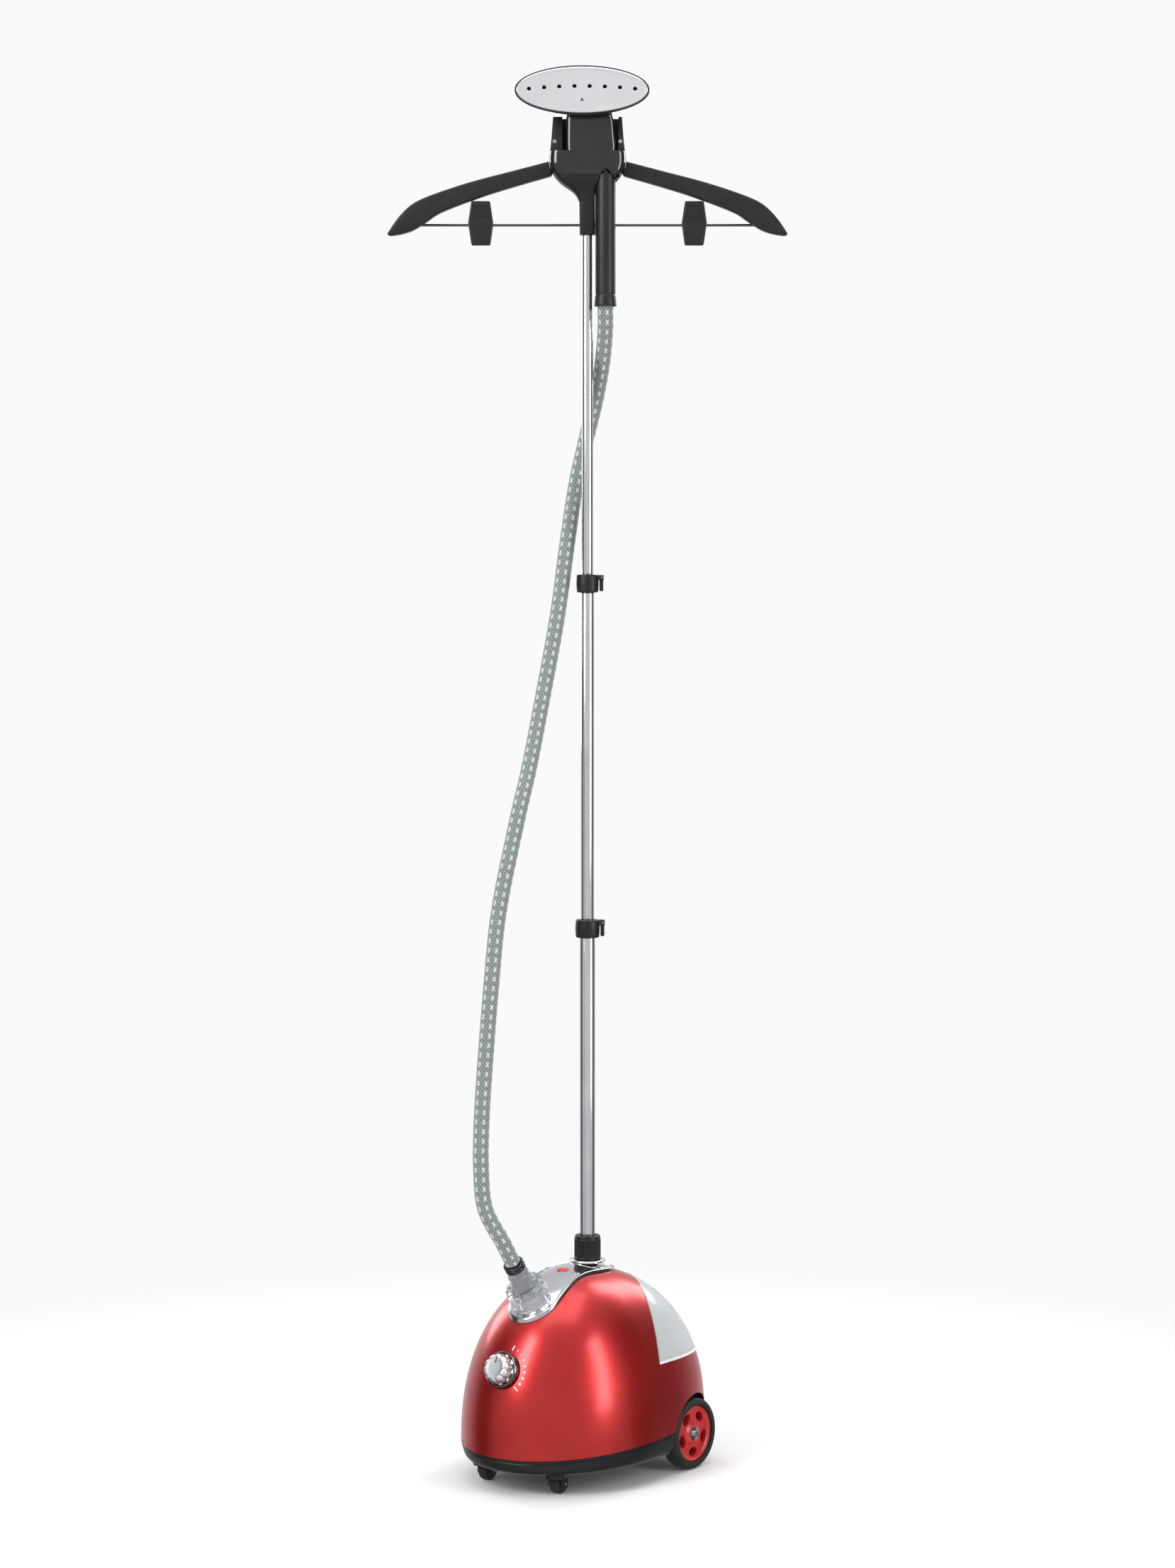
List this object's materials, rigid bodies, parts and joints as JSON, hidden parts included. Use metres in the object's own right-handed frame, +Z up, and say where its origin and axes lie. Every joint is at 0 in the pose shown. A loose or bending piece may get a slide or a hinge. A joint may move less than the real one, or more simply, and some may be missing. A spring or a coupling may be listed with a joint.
{
  "type": "garment steamer",
  "caption": "Upright garment steamer: wheeled dome base with lift-out water tank, telescopic pole, hanger with clips, hose and steam head.",
  "frame": {"origin": "on the floor, under the centre of the object's box without the hose; the pole is 17.8 mm behind it", "axes": "+Z up, -Y towards the side with the control knob, +X to the right seen from behind the knob side"},
  "size_m": [0.364, 0.3221, 1.57],
  "materials": {
    "red_gloss": "metallic red gloss lacquer",
    "black_plastic": "satin moulded black",
    "chrome": "bright chrome plate",
    "chrome_plastic": "chrome plated plastic",
    "dark_chrome": "dark chrome plated plastic",
    "clear_plastic": "clear plastic",
    "white_plastic": "white plastic",
    "rubber": "matt black rubber",
    "steel": "bright steel",
    "aluminium": "cast aluminium",
    "hose_fabric": "braided grey-green fabric"
  },
  "bodies": {
    "root": {"base_tray": "black_plastic", "body_shell": "red_gloss", "top_panel": "chrome_plastic", "knob_bezel": "dark_chrome", "rotary_switch": "black_plastic", "indicator_lens": "red_gloss", "indicator_lamp": "clear_plastic", "outlet_sleeve": "white_plastic", "hose_connector": "clear_plastic", "hose_collar": "black_plastic", "hose": "hose_fabric", "socket_ring": "chrome_plastic", "pole_socket": "black_plastic", "pole_lower": "chrome", "clamp_lower": "black_plastic", "tank_bay": "black_plastic", "valve_seat": "black_plastic", "boiler": "aluminium", "heating_element": "steel", "thermostat": "steel", "feed_tube": "white_plastic", "steam_tube": "white_plastic", "rear_axle": "steel", "cord_inlet": "rubber"},
    "knob": {"control_knob": "chrome_plastic", "knob_shaft": "steel"},
    "nut": {"hose_nut": "clear_plastic"},
    "collar": {"pole_collar": "black_plastic"},
    "tank": {"water_tank": "clear_plastic"},
    "cap": {"tank_cap": "black_plastic"},
    "valve": {"tank_valve": "rubber"},
    "latch": {"tank_latch": "red_gloss"},
    "wheel_left": {"rear_tyre_left": "rubber", "rear_hub_left": "red_gloss"},
    "wheel_right": {"rear_tyre_right": "rubber", "rear_hub_right": "red_gloss"},
    "caster_left": {"caster_fork_left": "black_plastic", "caster_axle_left": "steel"},
    "caster_right": {"caster_fork_right": "black_plastic", "caster_axle_right": "steel"},
    "roller_left": {"caster_wheel_left": "rubber"},
    "roller_right": {"caster_wheel_right": "rubber"},
    "drain": {"drain_plug": "black_plastic"},
    "lever_low": {"clamp_lever_lower": "black_plastic"},
    "middle_stage": {"pole_middle": "chrome", "clamp_upper": "black_plastic"},
    "lever_high": {"clamp_lever_upper": "black_plastic"},
    "upper_stage": {"pole_upper": "chrome", "hanger_hub": "black_plastic", "cradle_cover": "black_plastic", "hanger_arm_left": "black_plastic", "hanger_arm_right": "black_plastic", "cross_bar": "steel"},
    "clip_left_slide": {"clip_left": "black_plastic"},
    "clip_right_slide": {"clip_right": "black_plastic"},
    "jaw_left": {"clip_jaw_left": "black_plastic"},
    "jaw_right": {"clip_jaw_right": "black_plastic"},
    "head": {"head_shell": "black_plastic", "face_plate": "chrome_plastic", "handle_grip": "black_plastic"}
  },
  "joints": [
    {"name": "knob_turn", "type": "hinge", "parent": "root", "child": "knob", "pos_m": [0, -0.13652, 0.136], "axis": [0, -0.9272, 0.3746], "range_deg": [0, 270]},
    {"name": "nut_turn", "type": "hinge", "parent": "root", "child": "nut", "pos_m": [0, -0.0852, 0.2045], "axis": [0, -0.5736, 0.8192], "range_deg": [0, 90]},
    {"name": "collar_turn", "type": "hinge", "parent": "root", "child": "collar", "pos_m": [0, 0.0178, 0.25], "axis": [0, 0, 1], "range_deg": [0, 180]},
    {"name": "tank_lift", "type": "slide", "parent": "root", "child": "tank", "axis": [0, 0, 1], "range_m": [0, 0.12]},
    {"name": "cap_turn", "type": "hinge", "parent": "tank", "child": "cap", "pos_m": [0, 0.0878, 0.12], "axis": [0, 0, 1], "range_deg": [-180, 0]},
    {"name": "valve_press", "type": "slide", "parent": "cap", "child": "valve", "axis": [0, 0, 1], "range_m": [0, 0.003], "stiffness_N_per_m": 60, "springref_m": -0.002},
    {"name": "latch_press", "type": "slide", "parent": "tank", "child": "latch", "axis": [0, -0.8057, -0.5924], "range_m": [0, 0.0018], "stiffness_N_per_m": 300},
    {"name": "wheel_spin_left", "type": "hinge", "parent": "root", "child": "wheel_left", "pos_m": [-0.098, 0.0778, 0.04], "axis": [1, 0, 0], "continuous": true},
    {"name": "caster_swivel_left", "type": "hinge", "parent": "root", "child": "caster_left", "pos_m": [-0.05, -0.1072, 0.02], "axis": [0, 0, 1], "continuous": true},
    {"name": "roller_spin_left", "type": "hinge", "parent": "caster_left", "child": "roller_left", "pos_m": [-0.05, -0.1012, 0.011], "axis": [1, 0, 0], "continuous": true},
    {"name": "wheel_spin_right", "type": "hinge", "parent": "root", "child": "wheel_right", "pos_m": [0.098, 0.0778, 0.04], "axis": [1, 0, 0], "continuous": true},
    {"name": "caster_swivel_right", "type": "hinge", "parent": "root", "child": "caster_right", "pos_m": [0.05, -0.1072, 0.02], "axis": [0, 0, 1], "continuous": true},
    {"name": "roller_spin_right", "type": "hinge", "parent": "caster_right", "child": "roller_right", "pos_m": [0.05, -0.1012, 0.011], "axis": [1, 0, 0], "continuous": true},
    {"name": "drain_turn", "type": "hinge", "parent": "root", "child": "drain", "pos_m": [0, 0.0978, 0.03], "axis": [0, 0, -1], "range_deg": [0, 360]},
    {"name": "lever_low_flip", "type": "hinge", "parent": "root", "child": "lever_low", "pos_m": [0.01342, 0.02791, 0.6185], "axis": [0.6018, -0.7986, 0], "range_deg": [0, 80]},
    {"name": "middle_slide", "type": "slide", "parent": "root", "child": "middle_stage", "axis": [0, 0, -1], "range_m": [0, 0.3], "deforming": ["hose"]},
    {"name": "lever_high_flip", "type": "hinge", "parent": "middle_stage", "child": "lever_high", "pos_m": [0.01242, 0.02716, 1.0065], "axis": [0.6018, -0.7986, 0], "range_deg": [0, 80]},
    {"name": "upper_slide", "type": "slide", "parent": "middle_stage", "child": "upper_stage", "axis": [0, 0, -1], "range_m": [0, 0.24]},
    {"name": "clip_left_slide", "type": "slide", "parent": "upper_stage", "child": "clip_left_slide", "axis": [-0.7986, -0.6018, 0], "range_m": [-0.07, 0]},
    {"name": "jaw_left_open", "type": "hinge", "parent": "clip_left_slide", "child": "jaw_left", "pos_m": [-0.09696, -0.05126, 1.399], "axis": [-0.7986, -0.6018, 0], "range_deg": [0, 9], "stiffness_Nm_per_rad": 0.3, "springref_deg": -2.86},
    {"name": "clip_right_slide", "type": "slide", "parent": "upper_stage", "child": "clip_right_slide", "axis": [0.7986, 0.6018, 0], "range_m": [-0.07, 0]},
    {"name": "jaw_right_open", "type": "hinge", "parent": "clip_right_slide", "child": "jaw_right", "pos_m": [0.09311, 0.09197, 1.399], "axis": [-0.7986, -0.6018, 0], "range_deg": [0, 9], "stiffness_Nm_per_rad": 0.3, "springref_deg": -2.86},
    {"name": "head_lift", "type": "slide", "parent": "upper_stage", "child": "head", "axis": [0, 0, 1], "range_m": [0, 0.05]}
  ],
  "couplings": [
    {"joint": "upper_slide", "follows": "middle_slide", "ratio": 0.8}
  ]
}
